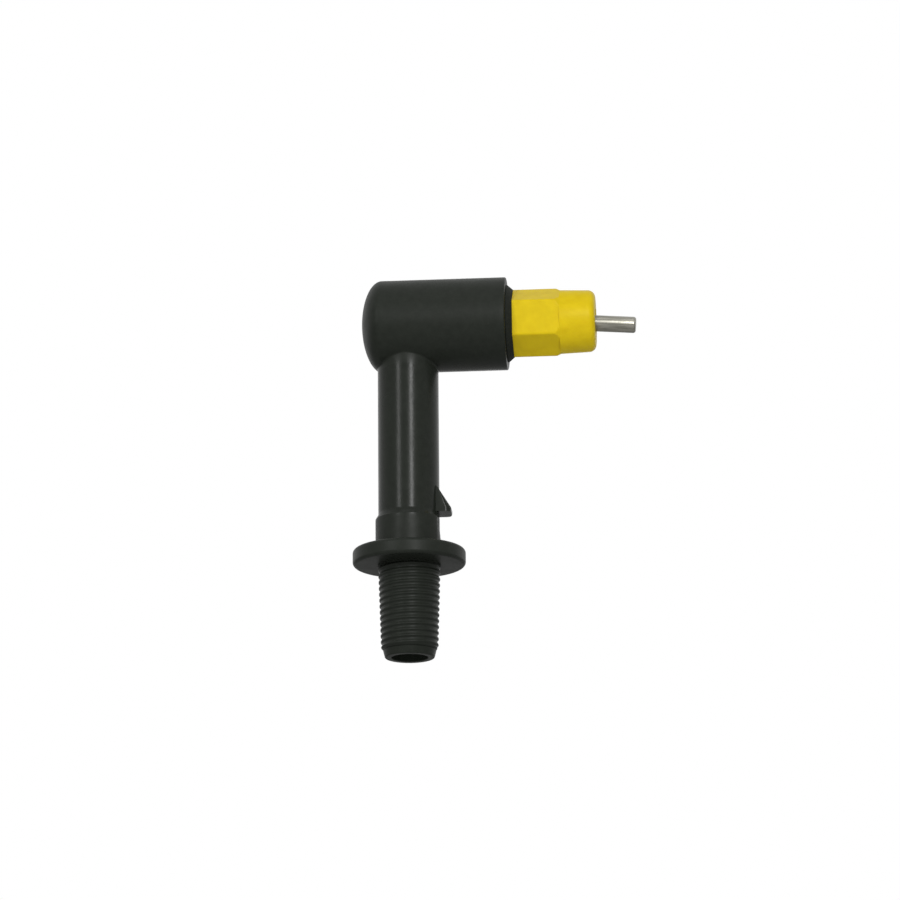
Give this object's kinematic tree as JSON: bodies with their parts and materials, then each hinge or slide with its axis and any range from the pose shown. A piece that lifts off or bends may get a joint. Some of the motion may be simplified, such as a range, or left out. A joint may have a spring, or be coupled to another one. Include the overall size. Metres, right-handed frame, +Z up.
{
  "type": "rabbit nipple drinker",
  "caption": "Black elbow with a tapered threaded stem, flange and wire hook, holding a yellow hexagonal nipple with a loose steel trigger pin on a sprung ball valve.",
  "frame": {"origin": "on the stem's axis, in the plane of the flange's underside", "axes": "+Z up the stem from the thread to the head; +X the way the nipple and its pin point; +Y completes a right-handed frame"},
  "size_m": [0.0474, 0.0186, 0.0642],
  "materials": {
    "black_moulding": "moulded, glossy on the stem and satin on the head",
    "yellow_moulding": "moulded, satin",
    "seal_rubber": "matte",
    "valve_moulding": "moulded",
    "valve_steel": "bright",
    "pin_steel": "drawn and polished"
  },
  "bodies": {
    "housing": {"elbow_body": "black_moulding", "socket_seal": "seal_rubber", "nipple_body": "yellow_moulding", "valve_seat": "seal_rubber", "spring_plug": "valve_moulding", "valve_spring": "valve_steel"},
    "follower": {"ball_follower": "valve_moulding"},
    "ball": {"valve_ball": "valve_steel"},
    "trigger": {"trigger_pin": "pin_steel"}
  },
  "joints": [
    {"name": "trigger_push", "type": "slide", "parent": "housing", "child": "follower", "axis": [-1, 0, 0], "range_m": [0, 0.0007], "stiffness_N_per_m": 150, "springref_m": -0.004, "deforming": ["valve_spring"]},
    {"name": "trigger_swing", "type": "hinge", "parent": "follower", "child": "ball", "pos_m": [0.02583, 0, 0.04105], "axis": [0, 0, 1], "range_deg": [-3.5, 3.5]},
    {"name": "trigger_tilt", "type": "hinge", "parent": "ball", "child": "trigger", "pos_m": [0.02583, 0, 0.04105], "axis": [0, -1, 0], "range_deg": [0, 8.6]}
  ]
}
